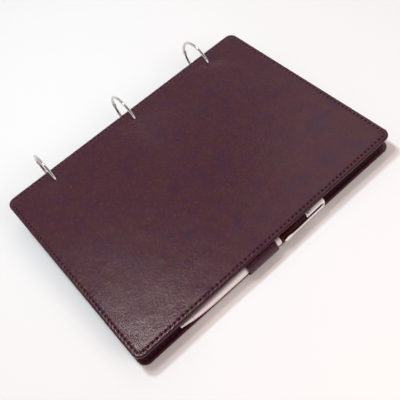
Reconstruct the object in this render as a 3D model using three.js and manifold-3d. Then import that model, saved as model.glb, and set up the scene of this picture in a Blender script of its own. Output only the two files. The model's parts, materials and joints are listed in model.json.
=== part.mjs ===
// Ring-bound leather padfolio with a twist ballpoint pen in its loop.
//
// Book frame, in millimetres: X runs from the ring edge (0) to the open edge, Y runs along
// the rings with 0 at the middle of the covers, and Z runs up from the back cover's underside.
// The closed book lies on its three rings and on the open edge of its back cover, so at the
// end it is tilted about Y and moved until the bottom centre of its box is the origin.

import * as THREE from 'three';
import { mergeVertices } from 'three/addons/utils/BufferGeometryUtils.js';
import Module from 'manifold-3d';

const wasm = await Module();
wasm.setup();

// Clearances
const seatGap = 0.25;        // between two layers that lie on each other
const clearance = 0.3;       // between separate pieces that can move or shift
const fitGap = 0.25;         // radial gap between a pen part and the part that it sits in

// Covers
const coverLength = 237;     // along the rings
const coverWidth = 172.4;    // from the ring edge to the open edge
const cornerRadius = 6.5;
const edgeRound = 0.8;       // rolled leather edge
const leatherThickness = 0.8;
const boardThickness = 1.3;
const liningThickness = 0.6;
const turnIn = 3.5;          // width of the leather turned in round the lining
const slotClearance = 0.7;   // along the punched slots, round the ring's wire and hinge
const slotSideGap = 0.5;     // between the wire and a slot's side

// Slip pocket inside the front cover
const pocketThickness = 0.8;
const pocketRingMargin = 52;   // from the ring edge to the pocket's mouth
const pocketOpenMargin = 13;   // from the pocket's sewn side to the open edge
const pocketEndMargin = 5;
const pocketCorner = 4;

// Note paper: its margins leave room for A5 leaves, 148 by 210
const leafRingMargin = 3;    // from the cover's ring edge to the paper's edge
const leafTabGap = 4;        // from the paper's outer edge to the pen loop's sewn tab
const leafEndMargin = 13.5;
const leafCorner = 3;
const leafHoleRadius = 2.75;
const frontLeavesThickness = 2.6;   // leaves that turn over with the front cover
const backLeavesThickness = 4.9;    // leaves that stay on the back cover
const cardThickness = 0.8;

// Rings
const ringCount = 3;
const ringPitch = 80;
const ringShift = 1.6;       // the middle ring lies this far from the covers' middle
const ringRadius = 17.9;     // to the middle of the wire
const ringOffset = 4.7;      // from the ring edge out to the ring's centre
const wireRadius = 1.2;
const closureAngle = 38;     // degrees, where the gate meets the ring's fixed part
const hingeAngle = 180;      // degrees, where the gate's hinge is
const closureGap = 0.3;
const knuckleRadius = 1.3;
const tongueThickness = 0.7;
const earThickness = 0.55;
const hingePinRadius = 0.5;
const knuckleLeg = 2;        // how far an ear or the tongue runs along the wire

// Pen loop, sewn to the back cover
const loopLength = 26.5;
const loopCentreY = -13.3;
const loopThickness = 0.9;
const loopSlack = 0.3;       // round the pen
const loopEase = 0.8;        // how much further the loop stands out past the pen
const loopTabReach = 15.5;   // from the pen's axis in to the end of the sewn tab

// Pen: sizes along the pen are measured from the lower face of its centre band
const penRadius = 3.9;
const penInset = 1.9;        // from the open edge in to the pen's axis
const bandLength = 4.2;
const bandRadius = 4.05;
const bandLoopGap = 0.4;
const upperBarrelLength = 24.5;
const capLength = 17.9;
const capEndRadius = 3.5;
const capSpigotLength = 6;
const capSpigotRadius = 3.15;
const lowerBarrelLength = 74;
const lowerTaper = 17;       // from the lower barrel's thin end to its full radius
const noseLength = 9.8;
const noseBaseRadius = 2.9;
const noseEndRadius = 1.05;
const noseSpigotLength = 4;
const coreRadius = 2.45;
const coreBore = 1.8;
const coreInLower = 14;      // length of the twist core inside the lower barrel
const coreInUpper = 18;      // and inside the upper barrel
const refillRadius = 1.5;
const refillNeedleRadius = 0.5;
const refillShoulder = 3;     // length of the refill's cone
const refillInset = 1;        // from the nose's end in to the drawn-in point
const refillStroke = 3.5;
const plugRadius = 2.6;
const plugHeight = 0.9;
const plugStemRadius = 0.7;
const plugStemLength = 4;

// Pen clip
const clipAngle = 8;         // degrees above the horizontal, on the outer side of the pen
const clipRootGap = 0.3;     // between the clip and the cap
const clipEndGap = 0.8;      // between the clip and the barrel, before the clip dips to its end
const clipThickness = 0.65;
const clipEndThickness = 1.3;
const clipLength = 38.8;
const clipRootWidth = 3;
const clipWaistWidth = 2;
const clipEndWidth = 4.2;
const clipPaddle = 8;        // length of the wide free end
const clipFoot = 2;          // length of the foot that is held in the cap
const clipFootInset = 2;     // from the cap's end to the foot

// Heights that follow from the layers
const coverThickness = leatherThickness + boardThickness + liningThickness + 2 * seatGap;
const loopHeight = 2 * (penRadius + loopSlack + loopThickness);
const paperHeight = cardThickness + backLeavesThickness + frontLeavesThickness
  + pocketThickness + 3 * clearance;
const coverGap = Math.max(loopHeight, paperHeight) + 2 * clearance;
const bookThickness = 2 * coverThickness + coverGap;
const ringHeight = bookThickness / 2;
const penHeight = coverThickness + clearance + loopHeight / 2;
const penX = coverWidth - penInset;

const material = {
  leather: { color: 0x4f2b35, roughness: 0.5, metalness: 0 },
  innerLeather: { color: 0x43222b, roughness: 0.6, metalness: 0 },
  lining: { color: 0x2f1c22, roughness: 0.85, metalness: 0 },
  board: { color: 0x8d8275, roughness: 0.95, metalness: 0 },
  paper: { color: 0xf3f0e6, roughness: 0.9, metalness: 0 },
  card: { color: 0xb9a888, roughness: 0.9, metalness: 0 },
  nickel: { color: 0xc9c7c2, roughness: 0.22, metalness: 1 },
  satinSilver: { color: 0xd6d3d0, roughness: 0.35, metalness: 1 },
  chrome: { color: 0xe3e3e3, roughness: 0.1, metalness: 1 },
  lacquer: { color: 0x2a0f18, roughness: 0.2, metalness: 0 },
  brass: { color: 0xb08d4c, roughness: 0.35, metalness: 1 },
  blackPlastic: { color: 0x141214, roughness: 0.4, metalness: 0 },
};

// Solids and meshes

// One vertex at each place, and no triangle that has shrunk to a line.
function weld(geometry) {
  geometry.deleteAttribute('normal');
  geometry.deleteAttribute('uv');
  const merged = mergeVertices(geometry, 1e-4);
  const index = merged.index.array;
  const kept = [];
  for (let i = 0; i < index.length; i += 3) {
    const [a, b, c] = [index[i], index[i + 1], index[i + 2]];
    if (a !== b && b !== c && c !== a) kept.push(a, b, c);
  }
  merged.setIndex(kept);
  return merged;
}

function signedVolume(geometry) {
  const p = geometry.attributes.position;
  const index = geometry.index.array;
  const a = new THREE.Vector3();
  const b = new THREE.Vector3();
  const c = new THREE.Vector3();
  let total = 0;
  for (let i = 0; i < index.length; i += 3) {
    a.fromBufferAttribute(p, index[i]);
    b.fromBufferAttribute(p, index[i + 1]);
    c.fromBufferAttribute(p, index[i + 2]);
    total += a.dot(b.cross(c)) / 6;
  }
  return total;
}

// A welded copy whose faces point out, whichever way its profile was drawn.
function outward(geometry) {
  const welded = weld(geometry);
  if (signedVolume(welded) < 0) {
    const index = welded.index.array;
    for (let i = 0; i < index.length; i += 3) {
      [index[i], index[i + 1]] = [index[i + 1], index[i]];
    }
  }
  return welded;
}

function toSolid(geometry) {
  return new wasm.Manifold(new wasm.Mesh({
    numProp: 3,
    vertProperties: new Float32Array(geometry.attributes.position.array),
    triVerts: new Uint32Array(geometry.index.array),
  }));
}

function toGeometry(solid) {
  const mesh = solid.getMesh();
  const geometry = new THREE.BufferGeometry();
  geometry.setAttribute('position', new THREE.BufferAttribute(mesh.vertProperties, 3));
  geometry.setIndex(Array.from(mesh.triVerts));
  return geometry;
}

function makeMesh(name, geometry, finish) {
  geometry.computeVertexNormals();
  const mesh = new THREE.Mesh(geometry, new THREE.MeshStandardMaterial(finish));
  mesh.name = name;
  return mesh;
}

// Outlines and extrusions

// A rectangle with round corners, from x0 to x1 and y0 to y1.
function roundedRectangle(x0, x1, y0, y1, radius) {
  const shape = new THREE.Shape();
  shape.moveTo(x0 + radius, y0);
  shape.lineTo(x1 - radius, y0);
  shape.absarc(x1 - radius, y0 + radius, radius, -Math.PI / 2, 0);
  shape.lineTo(x1, y1 - radius);
  shape.absarc(x1 - radius, y1 - radius, radius, 0, Math.PI / 2);
  shape.lineTo(x0 + radius, y1);
  shape.absarc(x0 + radius, y1 - radius, radius, Math.PI / 2, Math.PI);
  shape.lineTo(x0, y0 + radius);
  shape.absarc(x0 + radius, y0 + radius, radius, Math.PI, Math.PI * 1.5);
  return shape;
}

// The cover's outline drawn in by a margin on every side.
function coverOutline(margin) {
  const end = coverLength / 2 - margin;
  const radius = Math.max(cornerRadius - margin, 1);
  return roundedRectangle(margin, coverWidth - margin, -end, end, radius);
}

// Two half circles joined by straight sides, from one centre to the other.
function capsule(x0, z0, x1, z1, radius) {
  const along = Math.atan2(z1 - z0, x1 - x0);
  const shape = new THREE.Shape();
  shape.absarc(x1, z1, radius, along - Math.PI / 2, along + Math.PI / 2);
  shape.absarc(x0, z0, radius, along + Math.PI / 2, along + Math.PI * 1.5);
  return shape;
}

function plate(shape, z, thickness, segments = 6) {
  const geometry = new THREE.ExtrudeGeometry(shape, {
    depth: thickness, bevelEnabled: false, curveSegments: segments,
  });
  return outward(geometry.translate(0, 0, z));
}

// Extrudes an outline drawn in X and Z along Y, from y to y + length.
function extrudeAlongY(shape, y, length, segments = 8) {
  const geometry = new THREE.ExtrudeGeometry(shape, {
    depth: length, bevelEnabled: false, curveSegments: segments,
  });
  return outward(geometry.rotateX(Math.PI / 2).translate(0, y + length, 0));
}

function circle(x, z, radius) {
  const shape = new THREE.Shape();
  shape.absarc(x, z, radius, 0, Math.PI * 2);
  return shape;
}

// A turned part: its half profile is [radius, distance along the axis], closed on itself.
function turned(profile, segments = 24) {
  const points = profile.map(([r, y]) => new THREE.Vector2(r, y));
  points.push(points[0].clone());
  return outward(new THREE.LatheGeometry(points, segments));
}

// Rings

// The wire's path in a plane across Y, round the ring's centre, between two angles in degrees.
class RingArc extends THREE.Curve {
  constructor(start, end) {
    super();
    this.start = THREE.MathUtils.degToRad(start);
    this.end = THREE.MathUtils.degToRad(end);
  }

  getPoint(t, target = new THREE.Vector3()) {
    const angle = this.start + (this.end - this.start) * t;
    return target.set(ringRadius * Math.cos(angle), 0, ringRadius * Math.sin(angle));
  }
}

const ringX = -ringOffset;
const hingeX = ringRadius * Math.cos(THREE.MathUtils.degToRad(hingeAngle));
const hingeZ = ringRadius * Math.sin(THREE.MathUtils.degToRad(hingeAngle));

// Where the wire's middle crosses a height in the closed book, as a distance from the ring edge.
function wireCrossing(z, radius = ringRadius) {
  return ringX + Math.sqrt(radius ** 2 - (z - ringHeight) ** 2);
}

// The angle that a length of wire spans on the ring.
function spanDegrees(length) {
  return THREE.MathUtils.radToDeg(length / ringRadius);
}

function ringWire(start, end) {
  const steps = Math.ceil(Math.abs(end - start) / 9);
  return toSolid(outward(new THREE.ExtrudeGeometry(circle(0, 0, wireRadius), {
    steps, curveSegments: 5, extrudePath: new RingArc(start, end), bevelEnabled: false,
  })));
}

// A flat round-ended leg of the hinge, from the pin along the wire.
function hingeLeg(direction, y, thickness) {
  const angle = THREE.MathUtils.degToRad(hingeAngle) + direction * Math.PI / 2;
  const x = hingeX + knuckleLeg * Math.cos(angle);
  const z = hingeZ + knuckleLeg * Math.sin(angle);
  const outline = capsule(hingeX, hingeZ, x, z, knuckleRadius);
  return toSolid(extrudeAlongY(outline, y, thickness, 5));
}

function hingePinHole() {
  const length = 4 * (earThickness + tongueThickness);
  const outline = circle(hingeX, hingeZ, hingePinRadius + fitGap);
  return toSolid(extrudeAlongY(outline, -length / 2, length, 6));
}

const earInner = tongueThickness / 2 + clearance;
const wireEnd = spanDegrees(knuckleRadius + 2 * clearance);

// The part of the ring that stays put: under the book, up through the leaves and both covers.
function ringBase() {
  const wire = ringWire(hingeAngle - 360 + wireEnd, closureAngle - spanDegrees(closureGap));
  return toGeometry(wire
    .add(hingeLeg(1, earInner, earThickness))
    .add(hingeLeg(1, -earInner - earThickness, earThickness))
    .subtract(hingePinHole()));
}

// The part that swings open, above the covers.
function ringGate() {
  const wire = ringWire(closureAngle, hingeAngle - wireEnd);
  return toGeometry(wire
    .add(hingeLeg(-1, -tongueThickness / 2, tongueThickness))
    .subtract(hingePinHole()));
}

function ringPin() {
  const reach = earInner + earThickness;
  return extrudeAlongY(circle(hingeX, hingeZ, hingePinRadius), -reach, 2 * reach, 6);
}

function ringY(i) {
  return ringShift + (i - (ringCount - 1) / 2) * ringPitch;
}

// Covers and paper

// One hole for each ring, all of one outline drawn at the middle of the ring's height.
function ringHoles(outline, z, height) {
  const hole = toSolid(plate(outline, z, height, 8));
  const holes = [];
  for (let i = 0; i < ringCount; i += 1) holes.push(hole.translate([0, ringY(i), 0]));
  return wasm.Manifold.union(holes);
}

// The slots punched through a whole cover. The wire slants through them, and the hinge passes
// through them when the cover is turned right over.
function coverHoles() {
  const knuckleInner = ringRadius - knuckleRadius;
  const legOuter = Math.hypot(ringRadius, knuckleLeg) + knuckleRadius;
  const start = wireCrossing(bookThickness, knuckleInner) - slotClearance;
  const end = wireCrossing(bookThickness - coverThickness, legOuter) + slotClearance;
  const halfWidth = wireRadius + slotSideGap;
  const slot = capsule(start + halfWidth, 0, end - halfWidth, 0, halfWidth);
  return ringHoles(slot, -1, coverThickness + 2);
}

function punchCover(geometry) {
  return toGeometry(toSolid(geometry).subtract(coverHoles()));
}

// The outer leather of a cover that lies face up with its inside at height 0: a rolled slab,
// hollow for the board, whose turned-in rim goes round the lining.
function coverLeather() {
  const slab = new THREE.ExtrudeGeometry(coverOutline(0), {
    depth: coverThickness - 2 * edgeRound,
    bevelEnabled: true,
    bevelThickness: edgeRound,
    bevelSize: edgeRound,
    bevelOffset: -edgeRound,
    bevelSegments: 3,
    curveSegments: 6,
  }).translate(0, 0, edgeRound);
  const boardSpace = coverThickness - leatherThickness - liningThickness;
  const hollow = toSolid(plate(coverOutline(leatherThickness), liningThickness, boardSpace));
  const opening = toSolid(plate(coverOutline(turnIn), -1, 1 + liningThickness + boardSpace / 2));
  return toGeometry(toSolid(outward(slab))
    .subtract(hollow).subtract(opening).subtract(coverHoles()));
}

function coverBoard() {
  const outline = coverOutline(leatherThickness + seatGap);
  return punchCover(plate(outline, liningThickness + seatGap, boardThickness));
}

function coverLining() {
  return punchCover(plate(coverOutline(turnIn + seatGap), 0, liningThickness));
}

// Turns a face-up cover piece into the back cover's, which lies face down.
function faceDown(geometry) {
  geometry.scale(1, 1, -1);
  return outward(geometry).translate(0, 0, coverThickness);
}

function coverPieces(side, place) {
  return [
    makeMesh(`${side}_leather`, place(coverLeather()), material.leather),
    makeMesh(`${side}_board`, place(coverBoard()), material.board),
    makeMesh(`${side}_lining`, place(coverLining()), material.lining),
  ];
}

function frontPocket() {
  const end = coverLength / 2 - pocketEndMargin;
  const outline = roundedRectangle(
    pocketRingMargin, coverWidth - pocketOpenMargin, -end, end, pocketCorner);
  const z = bookThickness - coverThickness - clearance - pocketThickness;
  return plate(outline, z, pocketThickness, 4);
}

function leaves(z, thickness) {
  const end = coverLength / 2 - leafEndMargin;
  const outline = roundedRectangle(
    leafRingMargin, penX - loopTabReach - leafTabGap, -end, end, leafCorner);
  const hole = circle(wireCrossing(z + thickness / 2), 0, leafHoleRadius);
  const holes = ringHoles(hole, z - 1, thickness + 2);
  return toGeometry(toSolid(plate(outline, z, thickness, 4)).subtract(holes));
}

const cardZ = coverThickness + clearance;
const backLeavesZ = cardZ + cardThickness + clearance;
const frontLeavesZ = bookThickness - coverThickness - 2 * clearance - pocketThickness
  - frontLeavesThickness;

// Pen loop

function penLoop() {
  const inner = penRadius + loopSlack;
  const outer = inner + loopThickness;
  const y = loopCentreY - loopLength / 2;
  const out = penX + loopEase;
  const sleeve = toSolid(extrudeAlongY(
    capsule(penX, penHeight, out, penHeight, outer), y, loopLength, 10));
  const bore = toSolid(extrudeAlongY(
    capsule(penX, penHeight, out, penHeight, inner), y - 1, loopLength + 2, 10));
  const tabLow = penHeight - outer;
  const tabOutline = new THREE.Shape();
  tabOutline.moveTo(penX - loopTabReach, tabLow);
  tabOutline.lineTo(penX, tabLow);
  tabOutline.lineTo(penX, tabLow + loopThickness);
  tabOutline.lineTo(penX - outer, tabLow + 2 * loopThickness);
  tabOutline.lineTo(penX - loopTabReach, tabLow + 2 * loopThickness);
  const tab = toSolid(extrudeAlongY(tabOutline, y, loopLength));
  return toGeometry(sleeve.add(tab).subtract(bore));
}

// Pen, along Y, with the lower face of its centre band at 0

const bandTop = bandLength;
const upperLow = bandTop + fitGap;
const upperHigh = upperLow + upperBarrelLength;
const capLow = upperHigh + fitGap;
const capHigh = capLow + capLength;
const lowerHigh = -fitGap;
const lowerLow = lowerHigh - lowerBarrelLength;
const noseHigh = lowerLow - fitGap;
const noseLow = noseHigh - noseLength;
const coreSocket = coreRadius + fitGap;
const noseBore = refillRadius + fitGap;
const noseSpigotRadius = noseBore + 0.35;

function penLowerBarrel() {
  const noseSocket = noseSpigotRadius + fitGap;
  const socketEnd = lowerLow + noseSpigotLength + fitGap;
  const bore = refillRadius + 1.5 * fitGap;
  const coreEnd = lowerHigh - coreInLower - fitGap;
  const rise = penRadius - noseBaseRadius;
  return turned([
    [noseSocket, lowerLow],
    [noseBaseRadius, lowerLow],
    [noseBaseRadius + 0.42 * rise, lowerLow + lowerTaper / 3],
    [noseBaseRadius + 0.78 * rise, lowerLow + lowerTaper * 2 / 3],
    [penRadius, lowerLow + lowerTaper],
    [penRadius, lowerHigh],
    [coreSocket, lowerHigh],
    [coreSocket, coreEnd],
    [bore, coreEnd],
    [bore, socketEnd],
    [noseSocket, socketEnd],
  ]);
}

function penNose() {
  const needleBore = refillNeedleRadius + fitGap;
  const rise = noseBaseRadius - noseEndRadius;
  return turned([
    [needleBore, noseLow],
    [noseEndRadius, noseLow],
    [noseEndRadius + 0.12 * rise, noseLow + 0.1 * noseLength],
    [noseEndRadius + 0.46 * rise, noseLow + 0.52 * noseLength],
    [noseEndRadius + 0.78 * rise, noseLow + 0.8 * noseLength],
    [noseBaseRadius, noseHigh],
    [noseSpigotRadius, noseHigh],
    [noseSpigotRadius, noseHigh + noseSpigotLength],
    [noseBore, noseHigh + noseSpigotLength],
    [noseBore, noseHigh - 1],
    [needleBore, noseHigh - noseLength / 2],
  ]);
}

function penTwistCore() {
  return turned([
    [coreBore, lowerHigh - coreInLower],
    [coreRadius, lowerHigh - coreInLower],
    [coreRadius, upperLow + coreInUpper],
    [coreBore, upperLow + coreInUpper],
  ]);
}

function penCentreBand() {
  const lip = 0.35;
  return turned([
    [coreSocket, 0],
    [bandRadius - lip, 0],
    [bandRadius, lip],
    [bandRadius, bandTop - lip],
    [bandRadius - lip, bandTop],
    [coreSocket, bandTop],
  ]);
}

function penUpperBarrel() {
  return turned([
    [coreSocket, upperLow],
    [penRadius, upperLow],
    [penRadius, upperHigh],
    [capSpigotRadius, upperHigh],
    [capSpigotRadius, upperHigh + capSpigotLength],
    [coreSocket, upperHigh + capSpigotLength],
  ]);
}

function penCap() {
  const socket = capSpigotRadius + fitGap;
  const socketEnd = upperHigh + capSpigotLength + fitGap;
  const hollow = capEndRadius - 1.2;
  const floor = capHigh - 1.5;
  const hole = plugStemRadius + fitGap;
  const body = toSolid(turned([
    [socket, capLow],
    [penRadius, capLow],
    [penRadius, capLow + 0.45 * capLength],
    [capEndRadius + 0.2, capHigh - 1],
    [capEndRadius - 0.4, capHigh],
    [hole, capHigh],
    [hole, floor],
    [hollow, floor],
    [hollow, socketEnd],
    [socket, socketEnd],
  ]));
  const slot = toSolid(outward(new THREE.BoxGeometry(
    penRadius, clipFoot + 2 * fitGap, clipRootWidth + 2 * fitGap)));
  const footY = capHigh - clipFootInset - clipFoot / 2;
  return toGeometry(body.subtract(slot.translate([penRadius, footY, 0])));
}

function penEndPlug() {
  return turned([
    [0, capHigh - plugStemLength],
    [plugStemRadius, capHigh - plugStemLength],
    [plugStemRadius, capHigh + fitGap],
    [plugRadius, capHigh + fitGap],
    [plugRadius, capHigh + fitGap + 0.4 * plugHeight],
    [0.7 * plugRadius, capHigh + fitGap + 0.85 * plugHeight],
    [0, capHigh + fitGap + plugHeight],
  ]);
}

// A sprung strip that leaves the cap, rises off the barrel and dips to a thick, wide end.
function penClip() {
  const rootY = capHigh - clipFootInset;
  const freeY = rootY - clipLength;
  const neckY = freeY + clipPaddle;
  const rootLow = penRadius + clipRootGap;
  const neckLow = penRadius + clipEndGap;
  const rootHigh = rootLow + clipThickness;
  const neckHigh = neckLow + clipThickness;
  const foot = penRadius - 0.8;
  const side = new THREE.Shape();
  side.moveTo(foot, rootY - clipFoot);
  side.lineTo(rootLow, rootY - clipFoot);
  side.lineTo(neckLow, neckY);
  side.lineTo(neckHigh - clipEndThickness, freeY + 0.6 * clipPaddle);
  side.lineTo(neckHigh - clipEndThickness, freeY + 0.25 * clipPaddle);
  side.lineTo(neckLow, freeY);
  side.lineTo(neckHigh, freeY);
  side.lineTo(neckHigh, neckY);
  side.lineTo(rootHigh, rootY - 0.5 * clipThickness);
  side.lineTo(rootHigh - 0.5 * clipThickness, rootY);
  side.lineTo(foot, rootY);
  const sideSolid = toSolid(plate(side, -clipEndWidth, 2 * clipEndWidth));
  const root = clipRootWidth / 2;
  const waist = clipWaistWidth / 2;
  const wide = clipEndWidth / 2;
  const top = new THREE.Shape();
  top.moveTo(-root, rootY + 1);
  top.lineTo(-waist, neckY + 2);
  top.lineTo(-wide, freeY + 0.5 * clipPaddle);
  top.absarc(0, freeY + wide, wide, Math.PI, 2 * Math.PI);
  top.lineTo(wide, freeY + 0.5 * clipPaddle);
  top.lineTo(waist, neckY + 2);
  top.lineTo(root, rootY + 1);
  const topSolid = toSolid(plate(top, 0, 2 * penRadius).rotateY(Math.PI / 2));
  return toGeometry(sideSolid.intersect(topSolid));
}

function penRefill() {
  const needleHigh = noseHigh + noseSpigotLength - refillShoulder;
  const needleLow = noseLow + refillInset;
  const top = upperLow + coreInUpper - refillStroke;
  return turned([
    [0, needleLow],
    [0.6 * refillNeedleRadius, needleLow],
    [refillNeedleRadius, needleLow + 1],
    [refillNeedleRadius, needleHigh],
    [refillRadius, needleHigh + refillShoulder],
    [refillRadius, top],
    [0, top],
  ]);
}

// Assembly

const book = new THREE.Group();

const front = coverPieces('front', (g) => g.translate(0, 0, bookThickness - coverThickness));
const back = coverPieces('back', faceDown);
book.add(...front, ...back);
book.add(makeMesh('front_pocket', frontPocket(), material.innerLeather));
book.add(makeMesh('backing_card', leaves(cardZ, cardThickness), material.card));
book.add(makeMesh('back_leaves', leaves(backLeavesZ, backLeavesThickness), material.paper));
book.add(makeMesh('front_leaves', leaves(frontLeavesZ, frontLeavesThickness), material.paper));
book.add(makeMesh('pen_loop', penLoop(), material.innerLeather));

for (let i = 0; i < ringCount; i += 1) {
  const ring = new THREE.Group();
  ring.add(makeMesh(`ring_${i + 1}_base`, ringBase(), material.nickel));
  ring.add(makeMesh(`ring_${i + 1}_gate`, ringGate(), material.nickel));
  ring.add(makeMesh(`ring_${i + 1}_pin`, ringPin(), material.nickel));
  ring.position.set(ringX, ringY(i), ringHeight);
  book.add(ring);
}

const pen = new THREE.Group();
pen.add(makeMesh('pen_upper_barrel', penUpperBarrel(), material.lacquer));
pen.add(makeMesh('pen_centre_band', penCentreBand(), material.satinSilver));
pen.add(makeMesh('pen_cap', penCap(), material.chrome));
pen.add(makeMesh('pen_end_plug', penEndPlug(), material.blackPlastic));
pen.add(makeMesh('pen_clip', penClip(), material.chrome));
pen.add(makeMesh('pen_lower_barrel', penLowerBarrel(), material.satinSilver));
pen.add(makeMesh('pen_nose', penNose(), material.satinSilver));
pen.add(makeMesh('pen_twist_core', penTwistCore(), material.brass));
pen.add(makeMesh('pen_refill', penRefill(), material.brass));
pen.position.set(penX, loopCentreY + loopLength / 2 + bandLoopGap, penHeight);
pen.rotation.y = -THREE.MathUtils.degToRad(clipAngle);
book.add(pen);

// The book rests on the rings' lowest point and on the rounded open edge of the back cover.
const edgeX = coverWidth - edgeRound - ringX;
const span = Math.hypot(edgeX, ringHeight);
book.rotation.y = Math.asin((ringRadius + wireRadius) / span) - Math.atan2(ringHeight, edgeX);

const padfolio = new THREE.Group();
padfolio.add(book);
padfolio.updateMatrixWorld(true);
const box = new THREE.Box3().setFromObject(padfolio, true);
const centre = box.getCenter(new THREE.Vector3());
book.position.set(-centre.x, -centre.y, -box.min.z);

export default padfolio;
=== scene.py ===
"""Ring-bound leather padfolio with a pen in its loop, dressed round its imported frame.

Every piece is drawn in the closed book's own frame: X from the ring edge to the open edge,
Y along the rings from the middle of the covers, Z up from the back cover's underside.
book_matrix() then lays the book down on its rings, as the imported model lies.
"""

import json
import math
import random

import bmesh
import bpy
from bpy.props import FloatProperty, FloatVectorProperty, IntProperty, PointerProperty
from mathutils import Matrix, Vector


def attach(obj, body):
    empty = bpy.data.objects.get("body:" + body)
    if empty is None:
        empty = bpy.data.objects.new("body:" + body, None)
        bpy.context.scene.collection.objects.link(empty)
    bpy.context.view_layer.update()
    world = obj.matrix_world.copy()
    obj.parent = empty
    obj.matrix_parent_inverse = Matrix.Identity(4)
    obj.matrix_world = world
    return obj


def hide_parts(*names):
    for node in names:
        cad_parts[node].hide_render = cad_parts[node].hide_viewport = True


bl_info = {
    "name": "Leather padfolio",
    "version": (1, 0, 0),
    "blender": (4, 5, 0),
    "location": "3D View > Sidebar > Padfolio",
    "description": "Builds a ring-bound leather padfolio and its pen piece by piece",
    "category": "Object",
}

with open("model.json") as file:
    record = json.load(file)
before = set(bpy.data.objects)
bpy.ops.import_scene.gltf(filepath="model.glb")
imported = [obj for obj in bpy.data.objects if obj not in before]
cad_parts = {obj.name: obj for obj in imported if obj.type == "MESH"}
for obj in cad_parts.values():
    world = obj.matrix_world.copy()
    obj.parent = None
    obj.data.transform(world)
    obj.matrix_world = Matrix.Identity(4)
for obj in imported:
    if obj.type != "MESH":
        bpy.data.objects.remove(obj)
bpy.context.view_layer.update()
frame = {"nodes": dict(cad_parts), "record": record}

MM = 0.001
# The middles of the three rings, along the covers
RING_PLACES = (-78.4 * MM, 1.6 * MM, 81.6 * MM)


def record_entry(group, name):
    """The entry of that name in one of the record's lists."""
    return next(entry for entry in group if entry["name"] == name)


def book_matrix():
    """Takes the closed book's own frame to the table, where it leans on its rings."""
    record = frame["record"]
    hinge = record_entry(record["behaviour"]["joints"], "front_cover_hinge")
    face = record_entry(record["mounts"], "front_cover_face")
    tilt = math.atan2(face["axis"][0], face["axis"][2])
    ring = bpy.context.scene.padfolio_rings
    cover = bpy.context.scene.padfolio_covers
    middle = Vector((-ring.offset, 0, cover.book_thickness / 2))
    turn = Matrix.Rotation(tilt, 4, "Y")
    return Matrix.Translation(hinge["pos_m"]) @ turn @ Matrix.Translation(-middle)


# Sizes and colours


def linear(hex_colour):
    """An sRGB hex value as a linear colour with alpha."""
    channels = [int(hex_colour[i:i + 2], 16) / 255 for i in (0, 2, 4)]
    return [c / 12.92 if c <= 0.04045 else ((c + 0.055) / 1.055) ** 2.4 for c in channels] + [1]


def size(name, description, millimetres):
    """A length among the settings."""
    return FloatProperty(
        name=name, description=description, default=millimetres * MM, unit="LENGTH")


def angle(name, description, degrees):
    """An angle among the settings."""
    return FloatProperty(
        name=name, description=description, default=math.radians(degrees), subtype="ANGLE")


def power(name, description, watts):
    """A lamp's power among the settings."""
    return FloatProperty(name=name, description=description, default=watts, unit="POWER")


def brightness(name, description, level):
    """A part of the backdrop's brightness, where 1 is white."""
    return FloatProperty(name=name, description=description, default=level, min=0)


def colour(name, description, hex_colour):
    """A colour among the settings."""
    return FloatVectorProperty(
        name=name, description=description, default=linear(hex_colour)[:3], size=3,
        subtype="COLOR")


class CoverSettings(bpy.types.PropertyGroup):
    length: size("Length", "Along the rings", 237)
    width: size("Width", "From the ring edge to the open edge", 172.4)
    thickness: size("Thickness", "Of one stiff cover", 3.2)
    book_thickness: size("Book thickness", "Over both covers", 17.2)
    corner: size("Corner radius", "Of the outline", 6.5)
    roll: size("Edge roll", "Radius of the turned leather edge", 1.1)
    turn_in: size("Turn-in", "Leather turned over round the lining", 3.5)
    lining_depth: size("Lining depth", "Of the recess that the lining lies in", 0.6)
    stitch_inset: size("Stitch inset", "From the edge to the stitches", 3.0)
    stitch_pitch: size("Stitch pitch", "From one needle hole to the next", 3.65)
    leather: colour("Leather", "Colour of the leather", "400D23")
    thread: colour("Thread", "Colour of the stitching", "3F181F")


class PaperSettings(bpy.types.PropertyGroup):
    width: size("Width", "Of a leaf", 148)
    length: size("Length", "Of a leaf", 210)
    ring_margin: size("Ring margin", "From the cover's edge to the paper's", 3)
    corner: size("Corner radius", "Of a leaf", 3)
    hole: size("Hole radius", "Of a punched hole", 2.75)
    gather: size("Gather", "Thickness of the leaves that lie evenly together", 0.7)
    line_spacing: size("Line spacing", "Between the ruled lines", 7)


class RingSettings(bpy.types.PropertyGroup):
    radius: size("Radius", "To the middle of the wire", 17.9)
    offset: size("Offset", "From the ring edge out to the ring's centre", 4.7)
    wire: size("Wire radius", "Of the ring's round wire", 1.2)
    closure: angle("Closure", "Where the ring opens", 38)
    hinge: angle("Hinge", "Where the opening half turns", 180)
    slot_play: size("Slot play", "Between the wire and the punched slot round it", 0.35)


class PenSettings(bpy.types.PropertyGroup):
    inset: size("Inset", "From the open edge in to the pen's axis", 1.9)
    band_place: size("Band place", "From the covers' middle to the centre band", 0.35)
    clip_turn: angle("Clip turn", "Of the clip, up from the open edge's own direction", 8)
    facets: IntProperty(
        name="Facets", description="Round each turned part", default=72, min=12)


class LoopSettings(bpy.types.PropertyGroup):
    length: size("Length", "Along the pen", 26.5)
    centre: size("Centre", "From the covers' middle", -13.3)
    ply: size("Ply", "Thickness of the leather strip", 0.9)
    radius: size("Radius", "Of the loop's round inside", 4.2)
    ease: size("Ease", "How much further the loop stands out past the pen", 0.8)
    tab_reach: size("Tab reach", "From the pen's axis in to the end of the sewn tab", 15.5)


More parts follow.
